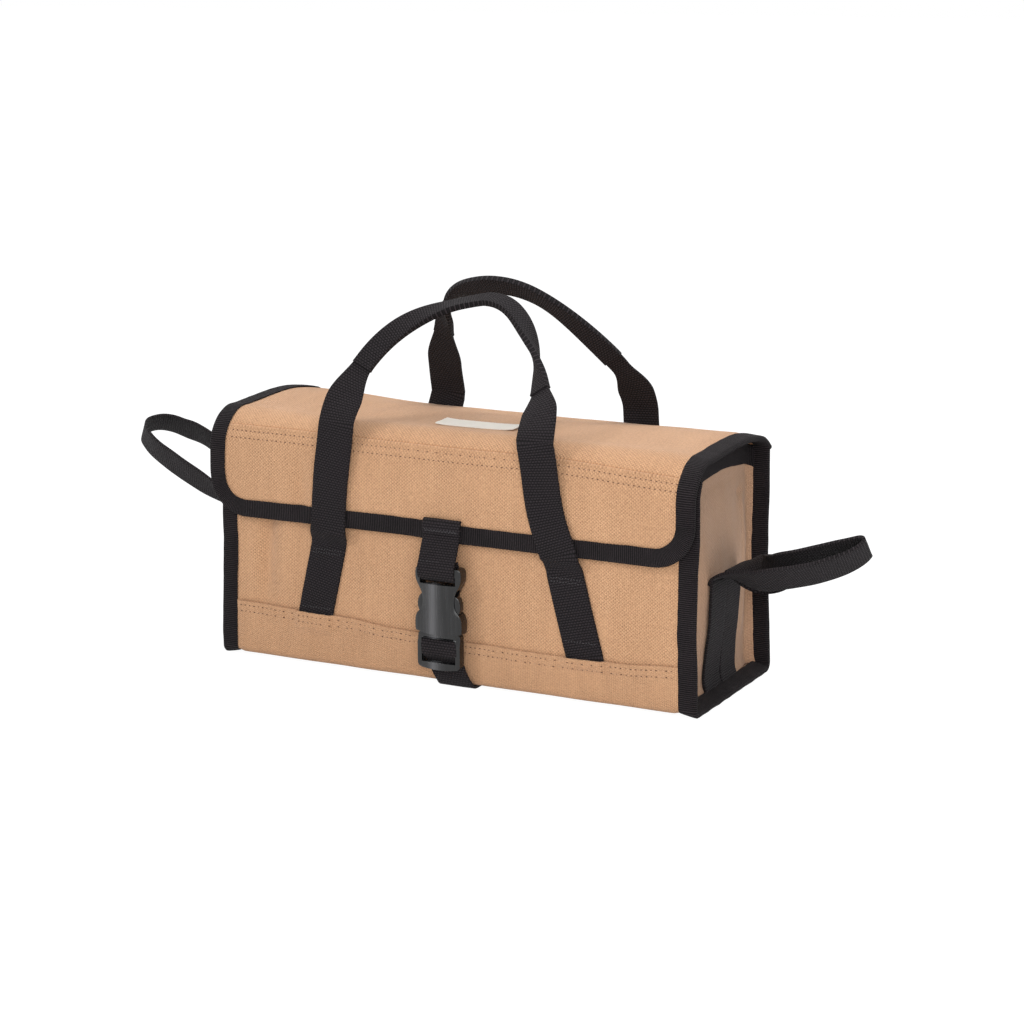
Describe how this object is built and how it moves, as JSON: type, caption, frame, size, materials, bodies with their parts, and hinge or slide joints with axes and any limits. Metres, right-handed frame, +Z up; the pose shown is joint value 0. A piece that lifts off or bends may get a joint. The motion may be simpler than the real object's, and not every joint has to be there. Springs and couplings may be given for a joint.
{
  "type": "storage bag",
  "caption": "Long stiffened canvas storage bag with a lid and front flap closed by a side release buckle, two carry handles and an end loop at each end.",
  "frame": {"origin": "on the floor, at the middle of the whole outline in X and Y", "axes": "+X along the bag to the right end as seen from the front, -Y out of the front with the buckle, +Z up"},
  "size_m": [0.524, 0.1363, 0.2505],
  "materials": {
    "canvas": "tan cotton canvas, matt",
    "binding": "black ribbed binding tape",
    "webbing": "black heavy webbing",
    "plastic": "black moulded plastic",
    "label_cloth": "cream woven label, bare",
    "board": "dark plastic stiffener"
  },
  "bodies": {
    "case": {"front_panel": "canvas", "back_panel": "canvas", "bottom_panel": "canvas", "base_board": "board", "end_panel_left": "canvas", "end_panel_right": "canvas", "end_top_binding_left": "binding", "end_top_binding_right": "binding", "end_binding_left": "binding", "end_binding_right": "binding", "mouth_binding": "binding", "front_handle_base_left": "webbing", "front_handle_base_right": "webbing", "back_handle_base_left": "webbing", "back_handle_base_right": "webbing", "end_loop_front_leg_left": "webbing", "end_loop_back_leg_left": "webbing", "end_loop_front_leg_right": "webbing", "end_loop_back_leg_right": "webbing", "lower_strap": "webbing"},
    "lid": {"lid_panel": "canvas", "lid_binding_left": "binding", "lid_binding_right": "binding", "label": "label_cloth"},
    "flap": {"flap_panel": "canvas", "flap_binding": "binding", "upper_strap": "webbing", "buckle_socket": "plastic"},
    "plug": {"buckle_plug": "plastic"},
    "arm_left": {"plug_arm_left": "plastic"},
    "arm_right": {"plug_arm_right": "plastic"},
    "front_handle": {"front_handle_leg_left": "webbing", "front_handle_leg_right": "webbing"},
    "front_grip": {"front_handle_grip": "webbing"},
    "back_handle": {"back_handle_leg_left": "webbing", "back_handle_leg_right": "webbing"},
    "back_grip": {"back_handle_grip": "webbing"},
    "loop_left": {"end_loop_left": "webbing"},
    "loop_right": {"end_loop_right": "webbing"}
  },
  "joints": [
    {"name": "lid_hinge", "type": "hinge", "parent": "case", "child": "lid", "pos_m": [0, 0.06585, 0.15585], "axis": [-1, 0, 0], "range_deg": [0, 105]},
    {"name": "flap_fold", "type": "hinge", "parent": "lid", "child": "flap", "pos_m": [0, -0.05625, 0.146], "axis": [-1, 0, 0], "range_deg": [-58, 0]},
    {"name": "front_handle_swing", "type": "hinge", "parent": "case", "child": "front_handle", "pos_m": [0, -0.05645, 0.083], "axis": [1, 0, 0], "range_deg": [0, 84]},
    {"name": "front_grip_fold", "type": "hinge", "parent": "front_handle", "child": "front_grip", "pos_m": [0.00404, -0.04021, 0.20548], "axis": [0.9884, 0, -0.1518], "range_deg": [0, 75]},
    {"name": "back_handle_swing", "type": "hinge", "parent": "case", "child": "back_handle", "pos_m": [0, 0.06815, 0.083], "axis": [-1, 0, 0], "range_deg": [0, 84]},
    {"name": "back_grip_fold", "type": "hinge", "parent": "back_handle", "child": "back_grip", "pos_m": [0.00444, 0.04707, 0.20861], "axis": [-0.9958, 0, 0.0916], "range_deg": [0, 75]},
    {"name": "end_loop_left_swing", "type": "hinge", "parent": "case", "child": "loop_left", "pos_m": [-0.16651, 0.00585, 0.077], "axis": [0, -1, 0], "range_deg": [-40, 45]},
    {"name": "end_loop_right_swing", "type": "hinge", "parent": "case", "child": "loop_right", "pos_m": [0.16651, 0.00585, 0.077], "axis": [0, 1, 0], "range_deg": [-40, 45]},
    {"name": "plug_release", "type": "slide", "parent": "case", "child": "plug", "axis": [0, 0, -1], "range_m": [0, 0.014], "deforming": ["lower_strap"]},
    {"name": "arm_left_squeeze", "type": "hinge", "parent": "plug", "child": "arm_left", "pos_m": [-0.0105, -0.06315, 0.038], "axis": [0, 1, 0], "range_deg": [0, 6], "stiffness_Nm_per_rad": 0.02, "deforming": ["plug_arm_left"]},
    {"name": "arm_right_squeeze", "type": "hinge", "parent": "plug", "child": "arm_right", "pos_m": [0.0105, -0.06315, 0.038], "axis": [0, -1, 0], "range_deg": [0, 6], "stiffness_Nm_per_rad": 0.02, "deforming": ["plug_arm_right"]}
  ],
  "couplings": [
    {"joint": "flap_fold", "follows": "lid_hinge", "ratio": -0.55},
    {"joint": "front_handle_swing", "follows": "lid_hinge", "ratio": 0.8},
    {"joint": "back_handle_swing", "follows": "lid_hinge", "ratio": 0.8}
  ]
}
